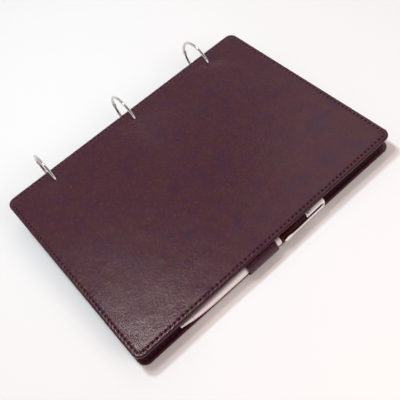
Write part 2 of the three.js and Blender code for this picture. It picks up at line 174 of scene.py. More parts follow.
class StageSettings(bpy.types.PropertyGroup):
    lens: size("Lens", "Focal length on a 36 mm sensor", 52.01)
    key_watts: power("Key light", "Power of the small lamp high beyond the ring edge", 5.2)
    shine_watts: power("Shine light", "Power of the lamp that the leather mirrors", 2.9)
    fill_watts: power("Fill light", "Power of the broad lamp beside the open edge", 3.2)
    far_watts: power("Far light", "Power of the broad lamp beyond the far end", 1.1)
    sky: brightness("Sky", "Of the even light from above", 0.30)
    horizon: brightness("Horizon", "Of the even light from the sides", 0.23)
    ceiling: brightness("Ceiling", "Of the white backdrop overhead", 0.55)
    flag: brightness("Flag", "Of the backdrop where the dark flag is", 0.12)
    floor: colour("Floor", "Colour of the table", "F9F9FA")


# Meshes


def closed_row(mesh, points):
    """A closed row of edges through the points, in order."""
    verts = [mesh.verts.new(p) for p in points]
    return [mesh.edges.new((a, b)) for a, b in zip(verts, verts[1:] + verts[:1])], verts


def next_row(mesh, edges, verts, points):
    """Extrudes a row of edges, and moves each new vertex to its own point."""
    made = bmesh.ops.extrude_edge_only(mesh, edges=edges)["geom"]
    place = {vert: i for i, vert in enumerate(verts)}
    new_verts = [None] * len(verts)
    for item in made:
        if not isinstance(item, bmesh.types.BMVert):
            continue
        for edge in item.link_edges:
            i = place.get(edge.other_vert(item))
            if i is not None:
                new_verts[i] = item
                item.co = points[i]
                break
    fresh = set(new_verts)
    new_edges = [item for item in made if isinstance(item, bmesh.types.BMEdge)
                 and item.verts[0] in fresh and item.verts[1] in fresh]
    return new_edges, new_verts


def loft(mesh, rows, marks=None):
    """A skin through closed rows of points. Returns the edges of the first and last rows.
    Marks are numbers for each point of each row, one for each of the mesh's number layers."""
    first, verts = closed_row(mesh, rows[0])
    edges = first
    for i, points in enumerate(rows):
        if i:
            edges, verts = next_row(mesh, edges, verts, points)
        for number, layer in enumerate(mesh.verts.layers.float if marks else ()):
            for vert, mark in zip(verts, marks[i]):
                vert[layer] = mark[number]
    return first, edges


def solid_loft(mesh, rows):
    """The same skin with both of its ends closed."""
    for edges in loft(mesh, rows):
        bmesh.ops.edgeloop_fill(mesh, edges=edges)


def punched_slab(mesh, rows, holes, marks=None):
    """A flat-ended skin with holes through it, each of them rows of points as well."""
    ends = loft(mesh, rows, marks)
    rims = [loft(mesh, hole) for hole in holes]
    for end, outer in enumerate(ends):
        edges = list(outer)
        for rim in rims:
            edges += rim[end]
        bmesh.ops.triangle_fill(mesh, use_beauty=True, use_dissolve=False, edges=edges)


def turned(mesh, profile, facets):
    """A part turned about Y: its half profile is (radius, distance along), closed on itself.
    The edges that shrink to nothing on the axis are taken out."""
    edges, verts = closed_row(mesh, [(r, y, 0) for r, y in profile])
    bmesh.ops.spin(
        mesh, geom=verts + edges, cent=(0, 0, 0), axis=(0, 1, 0), angle=2 * math.pi,
        steps=facets, use_merge=True)
    bmesh.ops.remove_doubles(mesh, verts=mesh.verts, dist=0.001 * MM)
    vanishing = [e for e in mesh.edges if e.calc_length() < 0.002 * MM]
    bmesh.ops.collapse(mesh, edges=vanishing)


def soften(mesh, width, steepness):
    """Rounds every edge that turns more sharply than steepness degrees."""
    bmesh.ops.recalc_face_normals(mesh, faces=mesh.faces)
    sharp = [e for e in mesh.edges if len(e.link_faces) == 2
             and e.calc_face_angle(0) > math.radians(steepness)]
    bmesh.ops.bevel(
        mesh, geom=sharp, offset=width, offset_type="OFFSET", segments=2, profile=0.5,
        affect="EDGES", clamp_overlap=True, material=-1)
    bmesh.ops.dissolve_degenerate(mesh, dist=0.001 * MM, edges=mesh.edges)


def add_copies(mesh, part, places):
    """Joins a copy of a part to the mesh at each place, and uses the part up."""
    shape = bpy.data.meshes.new("part")
    part.to_mesh(shape)
    part.free()
    for place in places:
        copy = shape.copy()
        copy.transform(place)
        mesh.from_mesh(copy)
        bpy.data.meshes.remove(copy)
    bpy.data.meshes.remove(shape)


def make_piece(mesh, name, material, body, stands_for, place=None):
    """Puts a finished mesh in the scene, in its place, on its body, with its faces outwards."""
    bmesh.ops.transform(mesh, matrix=book_matrix() if place is None else place, verts=mesh.verts)
    bmesh.ops.recalc_face_normals(mesh, faces=mesh.faces)
    data = bpy.data.meshes.new(name)
    mesh.to_mesh(data)
    mesh.free()
    data.shade_smooth()
    sharp_edge = math.radians(35)
    data.set_sharp_from_angle(angle=sharp_edge)
    data.materials.append(material)
    piece = bpy.data.objects.new(name, data)
    bpy.context.scene.collection.objects.link(piece)
    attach(piece, body)
    if stands_for:
        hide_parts(*stands_for)


def rounded_outline(x0, x1, y0, y1, radius, spacing, corner_steps):
    """Points round a rectangle with round corners, each with its outward direction."""
    corners = ((x1 - radius, y0 + radius), (x1 - radius, y1 - radius),
               (x0 + radius, y1 - radius), (x0 + radius, y0 + radius))
    outline = []
    for i, (cx, cy) in enumerate(corners):
        for step in range(corner_steps + 1):
            turn = math.pi / 2 * (i - 1 + step / corner_steps)
            out = Vector((math.cos(turn), math.sin(turn), 0))
            outline.append((Vector((cx, cy, 0)) + out * radius, out))
        start, out = outline[-1]
        nx, ny = corners[(i + 1) % 4]
        end = Vector((nx, ny, 0)) + out * radius
        count = max(1, round((end - start).length / spacing))
        outline += [(start.lerp(end, k / count), out) for k in range(1, count)]
    return outline


def row_at(outline, inset, height, lift=None):
    """The outline drawn in by inset, at a height that may vary along it."""
    points = []
    for i, (point, out) in enumerate(outline):
        z = height + (lift[i] if lift else 0)
        points.append(Vector((point.x - out.x * inset, point.y - out.y * inset, z)))
    return points


def capsule(near, far, side, radius):
    """A flat outline with round ends, about two centres. Side is the direction across it."""
    along = (far - near).normalized()
    points = []
    for centre, start in ((far, -90), (near, 90)):
        for step in range(11):
            turn = math.radians(start + 18 * step)
            points.append(centre + (along * math.cos(turn) + side * math.sin(turn)) * radius)
    return points


# Materials

# A wave texture of scale 1 repeats after this many millimetres
WAVE = 0.314


def add_node(tree, kind, inputs=None, ramp=None, **settings):
    """Adds a shader node with its settings, and sets or links its inputs. An input that is
    given as a node is linked to that node's first output."""
    node = tree.nodes.new("ShaderNode" + kind)
    for name, value in settings.items():
        setattr(node, name, value)
    for key, value in (inputs or {}).items():
        source = value.outputs[0] if isinstance(value, bpy.types.Node) else value
        if isinstance(source, bpy.types.NodeSocket):
            tree.links.new(source, node.inputs[key])
        else:
            node.inputs[key].default_value = source
    if ramp:
        elements = node.color_ramp.elements
        while len(elements) < len(ramp):
            elements.new(1)
        for element, (position, stop) in zip(elements, ramp):
            element.position = position
            element.color = stop
    return node


def new_material(name):
    """An empty material, its node tree and its object coordinates in millimetres."""
    material = bpy.data.materials.new(name)
    material.use_nodes = True
    tree = material.node_tree
    tree.nodes.clear()
    place = add_node(tree, "TexCoord")
    scaled = add_node(
        tree, "Mapping", {"Vector": place.outputs["Object"], "Scale": (1000, 1000, 1000)})
    return material, tree, scaled


def surface(material, inputs):
    """Joins a principled surface to the material's output."""
    shader = add_node(material.node_tree, "BsdfPrincipled", inputs)
    add_node(material.node_tree, "OutputMaterial", {"Surface": shader})
    return material


def grained_leather(name, base, grain_depth=1.0):
    """Aniline-dyed cowhide, plated with a fine print and waxed.

    The dye is uneven in patches of about 13 mm, from wine red to olive and purple, and again
    over two or three. The hide itself waves a little, and its creased grain breaks up the
    wax's soft shine. Needle holes, marked on the mesh, are painted dark and without shine,
    as painted shade in the holes. The rolled edge is burnished darker and painted darker
    still, as painted shade on the covers' sides. The grain is drawn 1.9 mm across, coarser
    than the real one, so that it shows.
    """
    material, tree, mm = new_material(name)
    cloud = add_node(tree, "TexNoise",
                     {"Vector": mm, "Scale": 1 / 13, "Detail": 4, "Roughness": 0.62})
    patches = ((0.32, (0.72, 1.1, 1.3)), (0.47, (1, 1, 1)), (0.60, (1.05, 1.9, 0.8)),
               (0.70, (0.72, 1.7, 0.85)))
    dye = add_node(tree, "ValToRGB", {"Fac": cloud}, ramp=[
        (position, [c * share for c, share in zip(base, shares)] + [1])
        for position, shares in patches])
    mottle = add_node(tree, "TexNoise",
                      {"Vector": mm, "Scale": 1 / 2.6, "Detail": 4, "Roughness": 0.75})
    depth = add_node(tree, "MapRange", {
        "Value": mottle, "From Min": 0.34, "From Max": 0.66, "To Min": 0.72, "To Max": 1.25})
    dyed = add_node(tree, "VectorMath", {0: dye, "Scale": depth}, operation="SCALE")
    # Painted shade: the rolled edge and the covers' sides are darkened to 300A16, partly for a
    # burnished edge and partly for the shade that the sides lie in
    burnish_and_shade = add_node(tree, "Attribute", attribute_name="burnish_and_shade")
    edge_burnish_and_shade = add_node(tree, "Math", {0: burnish_and_shade.outputs["Fac"], 1: 0.6}, operation="MULTIPLY")
    edged = add_node(tree, "Mix", {0: edge_burnish_and_shade, 6: dyed, 7: linear("300A16")}, data_type="RGBA")
    # Painted shade: the needle holes are darkened to 120307, for the shade inside them
    hole = add_node(tree, "Attribute", attribute_name="hole").outputs["Fac"]
    dark = add_node(tree, "Math", {0: hole, 1: 0.75}, operation="MULTIPLY")
    shaded = add_node(tree, "Mix", {0: dark, 6: edged.outputs[2], 7: linear("120307")},
                      data_type="RGBA")
    waves = add_node(tree, "TexNoise", {"Vector": mm, "Scale": 1 / 15, "Detail": 1})
    creases = add_node(tree, "TexNoise",
                       {"Vector": mm, "Scale": 1 / 1.9, "Detail": 4, "Roughness": 0.6})
    pores = add_node(tree, "TexVoronoi", {"Vector": mm, "Scale": 1 / 1.1}, feature="SMOOTH_F1")
    grain = add_node(tree, "Math", {0: pores, 1: 0.35, 2: creases}, operation="MULTIPLY_ADD")
    height = add_node(tree, "Math", {0: waves, 1: 2.6, 2: grain}, operation="MULTIPLY_ADD")
    bump = add_node(tree, "Bump",
                    {"Height": height, "Distance": 0.17 * grain_depth * MM, "Strength": 1})
    shine = add_node(tree, "MapRange", {
        "Value": mottle, "From Min": 0.3, "From Max": 0.7, "To Min": 0.20, "To Max": 0.31})
    rough = add_node(tree, "Math", {0: hole, 1: 0.5, 2: shine}, operation="MULTIPLY_ADD")
    # The holes lose their shine as painted shade; the rolled edge loses some as a matt burnished
    # finish
    hole_shade_and_matt_edge = add_node(tree, "Math", {0: hole, 1: edge_burnish_and_shade}, operation="ADD", use_clamp=True)
    glint = add_node(tree, "Mix", {0: hole_shade_and_matt_edge, 6: (1, 1, 1, 1), 7: (0, 0, 0, 1)}, data_type="RGBA")
    return surface(material, {
        "Base Color": shaded.outputs[2], "Roughness": rough,
        "Specular Tint": glint.outputs[2], "Normal": bump, "IOR": 1.47})


def waxed_thread(name):
    """Waxed linen thread, dark and dull, its slanting twist repeating every 0.285 mm."""
    material, tree, mm = new_material(name)
    twist = add_node(tree, "TexWave", {"Vector": mm, "Scale": WAVE / 0.285, "Distortion": 1.5},
                     bands_direction="DIAGONAL")
    bump = add_node(tree, "Bump", {
        "Height": twist.outputs["Fac"], "Distance": 0.05 * MM, "Strength": 0.6})
    thread = bpy.context.scene.padfolio_covers.thread
    return surface(material, {"Base Color": [*thread, 1], "Roughness": 0.45, "Normal": bump})


def woven_lining(name):
    """Dark cotton lining, plain weave with threads 0.5 mm apart, coarse enough to show."""
    material, tree, mm = new_material(name)
    warp, weft = [
        add_node(tree, "TexWave", {"Vector": mm, "Scale": WAVE / 0.5}, bands_direction=axis)
        for axis in "XY"]
    weave = add_node(tree, "Math", {0: warp.outputs["Fac"], 1: weft.outputs["Fac"]},
                     operation="MULTIPLY")
    cloud = add_node(tree, "TexNoise", {"Vector": mm, "Scale": 1 / 25, "Detail": 3})
    tone = add_node(tree, "ValToRGB", {"Fac": cloud},
                    ramp=[(0.35, linear("2C1B20")), (0.65, linear("332026"))])
    bump = add_node(tree, "Bump", {"Height": weave, "Distance": 0.05 * MM, "Strength": 0.8})
    return surface(material, {
        "Base Color": tone, "Roughness": 0.85, "Normal": bump, "Sheen Weight": 0.2,
        "Sheen Roughness": 0.4})


def writing_paper(name):
    """Uncoated offset paper, off-white, with pale grey ruling and leaf edges 0.1 mm apart.

    The leaf edges are painted shade: dark lines for the gaps between the leaves, drawn 0.35 mm
    apart so that they show.
    """
    spacing = bpy.context.scene.padfolio_paper.line_spacing / MM
    material, tree, mm = new_material(name)
    axes = add_node(tree, "SeparateXYZ", {"Vector": mm})
    turns = add_node(tree, "Math", {0: axes.outputs["Y"], 1: spacing / 2}, operation="PINGPONG")
    line = add_node(tree, "Math", {0: turns, 1: 0.22}, operation="LESS_THAN")
    facing = add_node(tree, "NewGeometry").outputs["Normal"]
    upright = add_node(tree, "SeparateXYZ", {"Vector": facing}).outputs["Z"]
    steep = add_node(tree, "Math", {0: upright}, operation="ABSOLUTE")
    face = add_node(tree, "Math", {0: steep, 1: 0.7}, operation="GREATER_THAN")
    ruled = add_node(tree, "Math", {0: line, 1: face}, operation="MULTIPLY")
    # Painted shade between the leaves: dark lines on the block's sides
    edges = add_node(tree, "TexWave", {
        "Vector": mm, "Scale": WAVE / 0.35, "Distortion": 0.6, "Detail": 2,
        "Detail Scale": 0.4}, bands_direction="Z")
    side = add_node(tree, "Math", {0: 1.0, 1: face}, operation="SUBTRACT")
    shadow = add_node(tree, "Math", {0: edges.outputs["Fac"], 1: side}, operation="MULTIPLY")
    fibre = add_node(tree, "TexNoise", {"Vector": mm, "Scale": 1 / 1.4, "Detail": 4})
    sheet = add_node(tree, "ValToRGB", {"Fac": fibre},
                     ramp=[(0.3, linear("EFEBDF")), (0.7, linear("F6F3EA"))])
    printed = add_node(tree, "Mix", {0: ruled, 6: sheet, 7: linear("B9C2CE")},
                       data_type="RGBA")
    stacked = add_node(tree, "Mix", {0: shadow, 6: printed.outputs[2], 7: linear("C9C2B2")},
                       data_type="RGBA")
    bump = add_node(tree, "Bump", {"Height": shadow, "Distance": 0.06 * MM, "Strength": 0.6})
    return surface(material, {
        "Base Color": stacked.outputs[2], "Roughness": 0.9, "Normal": bump})


def pressed_board(name, dark, pale):
    """Pressed grey board or buff card: flecked with fibres of about a millimetre."""
    material, tree, mm = new_material(name)
    fibre = add_node(tree, "TexNoise",
                     {"Vector": mm, "Scale": 1 / 1.1, "Detail": 6, "Roughness": 0.7})
    tone = add_node(tree, "ValToRGB", {"Fac": fibre},
                    ramp=[(0.3, linear(dark)), (0.7, linear(pale))])
    bump = add_node(tree, "Bump", {"Height": fibre, "Distance": 0.05 * MM, "Strength": 0.5})
    return surface(material, {"Base Color": tone, "Roughness": 0.92, "Normal": bump})


def polished_metal(name, tint, rough_low, rough_high):
    """Plated metal: smooth, with faint wipe marks a few millimetres long."""
    material, tree, mm = new_material(name)
    marks = add_node(tree, "TexNoise",
                     {"Vector": mm, "Scale": 1 / 1.8, "Detail": 5, "Roughness": 0.6})
    shine = add_node(tree, "MapRange", {
        "Value": marks, "From Min": 0.3, "From Max": 0.7, "To Min": rough_low,
        "To Max": rough_high})
    bump = add_node(tree, "Bump", {"Height": marks, "Distance": 0.004 * MM, "Strength": 0.5})
    return surface(material, {
        "Base Color": linear(tint), "Metallic": 1.0, "Roughness": shine, "Normal": bump})


def satin_silver(name):
    """Satin silver plate, brushed round the barrel in lines about 0.3 mm apart."""
    material, tree, mm = new_material(name)
    stretched = add_node(tree, "Mapping", {"Vector": mm, "Scale": (0.25, 3, 0.25)})
    brush = add_node(tree, "TexNoise", {"Vector": stretched, "Scale": 1, "Detail": 3})
    shine = add_node(tree, "MapRange", {
        "Value": brush, "From Min": 0.3, "From Max": 0.7, "To Min": 0.42, "To Max": 0.55})
    # The pinkish tint is painted reflection: it stands for the wine-red leather and the warm light
    # that the plate mirrors
    tone = add_node(tree, "ValToRGB", {"Fac": brush},
                    ramp=[(0.3, linear("EBD8D6")), (0.7, linear("F6E6E3"))])
    return surface(material, {"Base Color": tone, "Metallic": 1.0, "Roughness": shine})


def gloss_lacquer(name, tint):
    """Sprayed and polished lacquer: deep colour under a clear top, rippled over 3.5 mm."""
    material, tree, mm = new_material(name)
    ripple = add_node(tree, "TexNoise", {"Vector": mm, "Scale": 1 / 3.5, "Detail": 2})
    bump = add_node(tree, "Bump", {"Height": ripple, "Distance": 0.01 * MM, "Strength": 0.4})
    deep = linear(tint)
    paler = [c * 1.15 for c in deep[:3]] + [1]
    tone = add_node(tree, "ValToRGB", {"Fac": ripple}, ramp=[(0.3, deep), (0.7, paler)])
    return surface(material, {
        "Base Color": tone, "Roughness": 0.18, "Normal": bump, "Specular IOR Level": 0.15})


def material_for(name, make, *args):
    """The material of that name, made the first time that it is asked for."""
    return bpy.data.materials.get(name) or make(name, *args)


def cover_leather():
    return material_for(
        "oxblood_leather", grained_leather, bpy.context.scene.padfolio_covers.leather)


def inner_leather():
    """The same leather, thinner, smoother and a shade darker."""
    darker = [c * 0.8 for c in bpy.context.scene.padfolio_covers.leather]
    return material_for("smooth_leather", grained_leather, darker, 0.5)


def sewing_thread():
    return material_for("waxed_thread", waxed_thread)


def nickel():
    return material_for("nickel_plate", polished_metal, "D2CCC8", 0.06, 0.12)


def chrome():
    # The plate's pinkish tint is painted reflection of the wine-red leather and the warm light
    # round it
    return material_for("chrome_plate", polished_metal, "E6DAD8", 0.05, 0.1)


def paint(node, material):
    """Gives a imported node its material."""
    for slot in frame["nodes"][node].material_slots:
        slot.material = material


# Stitching


def add_stitches(mesh, places):
    """A thread's visible length at each place, as a unit ball that the place stretches."""
    ball = bmesh.new()
    bmesh.ops.create_uvsphere(ball, u_segments=8, v_segments=5, radius=1)
    add_copies(mesh, ball, places)


def stitch_spacing(outline, settings):
    """How far along the outline each point lies, and the pitch that fits it evenly."""
    total, along = 0.0, []
    for i, (point, _) in enumerate(outline):
        along.append(total)
        total += (outline[(i + 1) % len(outline)][0] - point).length
    return along, total / round(total / settings.stitch_pitch)


def stitch_line(mesh, outline, settings, height, from_x=-math.inf):
    """Threads along a closed outline, each between two needle holes, sunk by about half.
    Only those that lie beyond from_x are sewn."""
    along, pitch = stitch_spacing(outline, settings)
    row = row_at(outline, settings.stitch_inset, height)
    half_width, half_height = 0.42 * MM, 0.24 * MM
    stretch = Matrix.Diagonal((pitch * 0.32, half_width, half_height, 1))
    places = []
    for i, start in enumerate(row):
        end = row[(i + 1) % len(row)]
        reach = (outline[(i + 1) % len(row)][0] - outline[i][0]).length
        number = math.ceil(along[i] / pitch - 0.5)
        offset = (number + 0.5) * pitch - along[i]
        if not 0 <= offset < reach or start.x < from_x:
            continue
        step = end - start
        turn = Matrix.Rotation(math.atan2(step.y, step.x), 4, "Z")
        places.append(Matrix.Translation(start.lerp(end, offset / reach)) @ turn @ stretch)
    add_stitches(mesh, places)


# Covers

# How far the top of the rolled edge lies under the flat middle of the outer face
EDGE_FALL = 0.36 * MM
# Insets from the edge, in mm, of the rows of points on the turned-in leather
INNER_FACE = (3.25, 3.0, 2.75, 2.5, 2.1, 1.7)
# Insets of the rows on the outer face, in mm, and how far each lies under its flat middle
OUTER_FACE = (
    (1.4, 0.31), (1.9, 0.28), (2.25, 0.275), (2.5, 0.27), (2.75, 0.26), (3.0, 0.24),
    (3.25, 0.21), (3.5, 0.175), (3.75, 0.14), (4.1, 0.09), (4.5, 0.05), (5.0, 0.02), (5.8, 0.0),
    (6.6, 0.0))


def cover_outline(settings, spacing):
    """A cover's outline, with points at that spacing along its straight sides."""
    return rounded_outline(
        0, settings.width, -settings.length / 2, settings.length / 2, settings.corner,
        spacing, corner_steps=16)


def cover_matrix(side):
    """A cover is drawn face up with its inside at 0; the back cover lies face down."""
    settings = bpy.context.scene.padfolio_covers
    if side == "front":
        return book_matrix() @ Matrix.Translation(
            (0, 0, settings.book_thickness - settings.thickness))
    flip = Matrix.Diagonal((1, 1, -1, 1))
    return book_matrix() @ Matrix.Translation((0, 0, settings.thickness)) @ flip


def cover_piece(mesh, side, part, material, stands_for):
    """Puts a piece of one cover in the scene, on the cover's body."""
    body = "front_cover" if side == "front" else "back"
    make_piece(mesh, f"{side}_cover_{part}", material, body, stands_for,
               cover_matrix(side))


def ring_crossing(height):
    """Where the ring's wire crosses a height in the closed book."""
    rings = bpy.context.scene.padfolio_rings
    middle = bpy.context.scene.padfolio_covers.book_thickness / 2
    return math.sqrt(rings.radius ** 2 - (height - middle) ** 2) - rings.offset


def slot_rows(levels):
    """The outline of each ring's slot at several levels of a cover, which it slants through
    as the wire does. A level is a height over the cover's inside and how much wider it is."""
    rings = bpy.context.scene.padfolio_rings
    covers = bpy.context.scene.padfolio_covers
    inside = covers.book_thickness - covers.thickness
    half = rings.wire + rings.slot_play
    reach = Vector((0.2 * MM, 0, 0))
    slots = []
    for y in RING_PLACES:
        rows = []
        for height, wider in levels:
            middle = Vector((ring_crossing(inside + height), y, height))
            rows.append(capsule(middle - reach, middle + reach, Vector((0, 1, 0)), half + wider))
        slots.append(rows)
    return slots


def cover_profile(settings):
    """The leather's cross-section at the edge as (inset, height), from the lining's recess
    over the rolled edge to the outer face."""
    roll, thick = settings.roll, settings.thickness
    crease = 0.14 * MM
    section = [(settings.turn_in, settings.lining_depth), (settings.turn_in, crease),
               (settings.turn_in - crease, 0.0)]
    section += [(inset * MM, 0.0) for inset in INNER_FACE]
    for k in range(6):
        turn = math.pi / 2 * k / 5
        section.append((roll - roll * math.sin(turn), roll - roll * math.cos(turn)))
    for k in range(7):
        turn = math.pi / 2 * k / 6
        rise = roll * math.sin(turn)
        section.append((roll - roll * math.cos(turn), thick - EDGE_FALL - roll + rise))
    section += [(inset * MM, thick - low * MM) for inset, low in OUTER_FACE]
    return section


def stitch_relief(inset, along, pitch, settings):
    """How far the stitches lift the leather at a place near the edge, and how deep in a
    needle hole the place is."""
    hole_length, hole_width, hole_depth = 0.64 * MM, 0.58 * MM, 0.65 * MM
    swell_place, swell_width, swell_height = 1.0 * MM, 0.55 * MM, 0.05 * MM
    across = inset - settings.stitch_inset
    nearest = (along + pitch / 2) % pitch - pitch / 2
    hole = math.exp(-(nearest / hole_length) ** 4 - (across / hole_width) ** 4)
    beside = math.exp(-((abs(across) - swell_place) / swell_width) ** 2)
    swell = -math.cos(2 * math.pi * along / pitch)
    return swell_height * swell * beside - hole_depth * hole, hole


def cover_skin(side):
    """The leather of one cover, as a closed slab with a recess for the lining. The stitches
    press its inner face in as well, by less."""
    settings = bpy.context.scene.padfolio_covers
    thick, deep = settings.thickness, settings.lining_depth
    outline = cover_outline(settings, settings.stitch_pitch / 8)
    along, pitch = stitch_spacing(outline, settings)
    burnish_and_shade_width, inner_strength = 0.9 * MM, -0.4
    near_stitches, past_stitches = 1 * MM, 5 * MM
    rows, marks = [], []
    for inset, height in cover_profile(settings):
        strength = 1 if height > thick / 2 else inner_strength
        relief = [(0.0, 0.0)] * len(outline)
        if near_stitches < inset < past_stitches and height != deep:
            relief = [stitch_relief(inset, a, pitch, settings) for a in along]
        rows.append(row_at(outline, inset, height, [strength * lift for lift, _ in relief]))
        # Each point marks its needle hole, which the material paints dark as painted shade, and the
        # rolled edge, darkened partly as burnish and partly as painted shade on the sides
        burnish_and_shade = min(1, max(0, 1.15 - inset / burnish_and_shade_width))
        marks.append([(hole, burnish_and_shade) for _, hole in relief])
    mesh = bmesh.new()
    for layer in ("hole", "burnish_and_shade"):
        mesh.verts.layers.float.new(layer)
    rim = 0.3 * MM
    levels = ((deep, 0), (thick - rim, 0), (thick - 0.08 * MM, 0.05 * MM), (thick, rim))
    punched_slab(mesh, rows, slot_rows(levels), marks)
    cover_piece(mesh, side, "skin", cover_leather(), [f"{side}_leather"])


def cover_threads(side):
    """The stitches on both faces of a cover, one between each needle hole and the next."""
    settings = bpy.context.scene.padfolio_covers
    outline = cover_outline(settings, settings.stitch_pitch / 8)
    mesh = bmesh.new()
    stitch_line(mesh, outline, settings, settings.thickness - 0.30 * MM)
    stitch_line(mesh, outline, settings, 0.0)
    cover_piece(mesh, side, "threads", sewing_thread(), ())


def cover_lining(side):
    """The woven lining, glued into the recess with a hair's gap to the turned-in leather."""
    settings = bpy.context.scene.padfolio_covers
    outline = cover_outline(settings, 4 * MM)
    edge = settings.turn_in + 0.2 * MM
    deep, face = settings.lining_depth - 0.02 * MM, 0.08 * MM
    ease = 0.1 * MM
    mesh = bmesh.new()
    rows = [row_at(outline, edge, deep), row_at(outline, edge, 2 * face),
            row_at(outline, edge + ease, face)]
    punched_slab(mesh, rows, slot_rows(((deep, ease), (face, ease))))
    woven = material_for("woven_lining", woven_lining)
    cover_piece(mesh, side, "lining", woven, [f"{side}_lining"])


class PADFOLIO_OT_covers(bpy.types.Operator):
    """Makes both covers: leather with a rolled, stitched edge, lining and hidden board"""

    bl_idname = "padfolio.covers"
    bl_label = "Covers"

    def execute(self, context):
        board = material_for("grey_board", pressed_board, "7F7468", "9B9084")
        for side in ("front", "back"):
            cover_skin(side)
            cover_threads(side)
            cover_lining(side)
            paint(f"{side}_board", board)
        return {"FINISHED"}


class PADFOLIO_OT_pocket(bpy.types.Operator):
    """Makes the slip pocket inside the front cover, open towards the rings"""

    bl_idname = "padfolio.pocket"
    bl_label = "Slip pocket"

    def execute(self, context):
        settings = context.scene.padfolio_covers
        low, high = 12.9 * MM, 13.7 * MM
        mouth, back, end = 52 * MM, settings.width - 13 * MM, settings.length / 2 - 5 * MM
        outline = rounded_outline(
            mouth, back, -end, end, radius=4 * MM, spacing=3 * MM, corner_steps=8)
        rows = [row_at(outline, inset * MM, height) for inset, height in (
            (3.2, high), (0.2, high), (0.05, high - 0.1 * MM), (0.0, (low + high) / 2),
            (0.12, low + 0.18 * MM), (0.4, low + 0.02 * MM), (1.0, low), (3.2, low))]
        mesh = bmesh.new()
        solid_loft(mesh, rows)
        make_piece(mesh, "front_pocket_panel", inner_leather(), "front_cover",
                   ["front_pocket"])
        threads = bmesh.new()
        stitch_line(threads, outline, settings, low + 0.02 * MM, mouth + 3.9 * MM)
        make_piece(threads, "front_pocket_threads", sewing_thread(), "front_cover", ())
        return {"FINISHED"}


# Note paper


def leaf_gather(mesh, low, high, shift, settings, ring_x):
    """A few leaves that lie evenly together, with their punched holes."""
    x0 = settings.ring_margin + shift.x
    end = settings.length / 2
    outline = rounded_outline(
        x0, x0 + settings.width, -end + shift.y, end + shift.y, settings.corner,
        spacing=20 * MM, corner_steps=6)
    sides = 24
    turns = [2 * math.pi * k / sides for k in range(sides)]
    circle = [(ring_x + settings.hole * math.cos(t), settings.hole * math.sin(t)) for t in turns]
    holes = [[[Vector((x, ring_y + y, z)) for x, y in circle] for z in (low, high)]
             for ring_y in RING_PLACES]
    punched_slab(mesh, [row_at(outline, 0, low), row_at(outline, 0, high)], holes)


class PADFOLIO_OT_paper(bpy.types.Operator):
    """Makes the two blocks of note paper and the backing card under them"""

    bl_idname = "padfolio.paper"
    bl_label = "Note paper"

    def execute(self, context):
        settings = context.scene.padfolio_paper
        chance = random.Random(5)
        blocks = (("front_leaves", "front_leaves", 10.0 * MM, 12.6 * MM),
                  ("back_leaves", "back", 4.6 * MM, 9.5 * MM))
        paper = material_for("writing_paper", writing_paper)
        for node, body, low, high in blocks:
            mesh = bmesh.new()
            count = round((high - low) / settings.gather)
            step = (high - low) / count
            air = step * 0.03
            for i in range(count):
                shift = Vector((chance.uniform(-0.15, 0.15), chance.uniform(-0.2, 0.2), 0)) * MM
                bottom = low + i * step
                leaf_gather(mesh, bottom, bottom + step - air, shift, settings,
                            ring_crossing((low + high) / 2))
            make_piece(mesh, f"{node}_block", paper, body, [node])
        mesh = bmesh.new()
        low, high = 3.5 * MM, 4.3 * MM
        leaf_gather(mesh, low, high, Vector((0, 0, 0)), settings,
                    ring_crossing((low + high) / 2))
        soften(mesh, 0.12 * MM, steepness=32)
        card = material_for("buff_card", pressed_board, "A89678", "C4B496")
        make_piece(mesh, "backing_card_sheet", card, "back", ["backing_card"])
        return {"FINISHED"}


# Rings


def round_ring(turn):
    """The direction from the ring's centre at an angle."""
    return Vector((math.cos(turn), 0, math.sin(turn)))


def wire_section(turn, radius, settings):
    """The wire's round cross-section at an angle of the ring."""
    points = []
    for side in range(20):
        about = 2 * math.pi * side / 20
        points.append(round_ring(turn) * (settings.radius + radius * math.cos(about))
                      + Vector((0, radius * math.sin(about), 0)))
    return points


def ring_wire(mesh, start, end, settings):
    """Round wire bent about Y from one angle to another, with softened ends."""
    ease = settings.wire * 0.2
    nudge = math.copysign(ease / settings.radius, end - start)
    turns = [start + (end - start) * k / 90 for k in range(1, 90)]
    full = [wire_section(turn, settings.wire, settings)
            for turn in (start + nudge, *turns, end - nudge)]
    tips = [wire_section(turn, settings.wire - ease, settings) for turn in (start, end)]
    solid_loft(mesh, [tips[0], *full, tips[1]])


def hinge_leg(mesh, direction, low, high, settings):
    """A flat, round-ended leg of the ring's hinge."""
    knuckle, reach = 1.3 * MM, 2.0 * MM
    pin = round_ring(settings.hinge) * settings.radius + Vector((0, low, 0))
    along = round_ring(settings.hinge + direction * math.pi / 2)
    outline = capsule(pin, pin + along * reach, Vector((0, 1, 0)).cross(along), knuckle)
    leg = bmesh.new()
    solid_loft(leg, [outline, [point + Vector((0, high - low, 0)) for point in outline]])
    soften(leg, 0.12 * MM, steepness=50)
    add_copies(mesh, leg, [Matrix.Identity(4)])


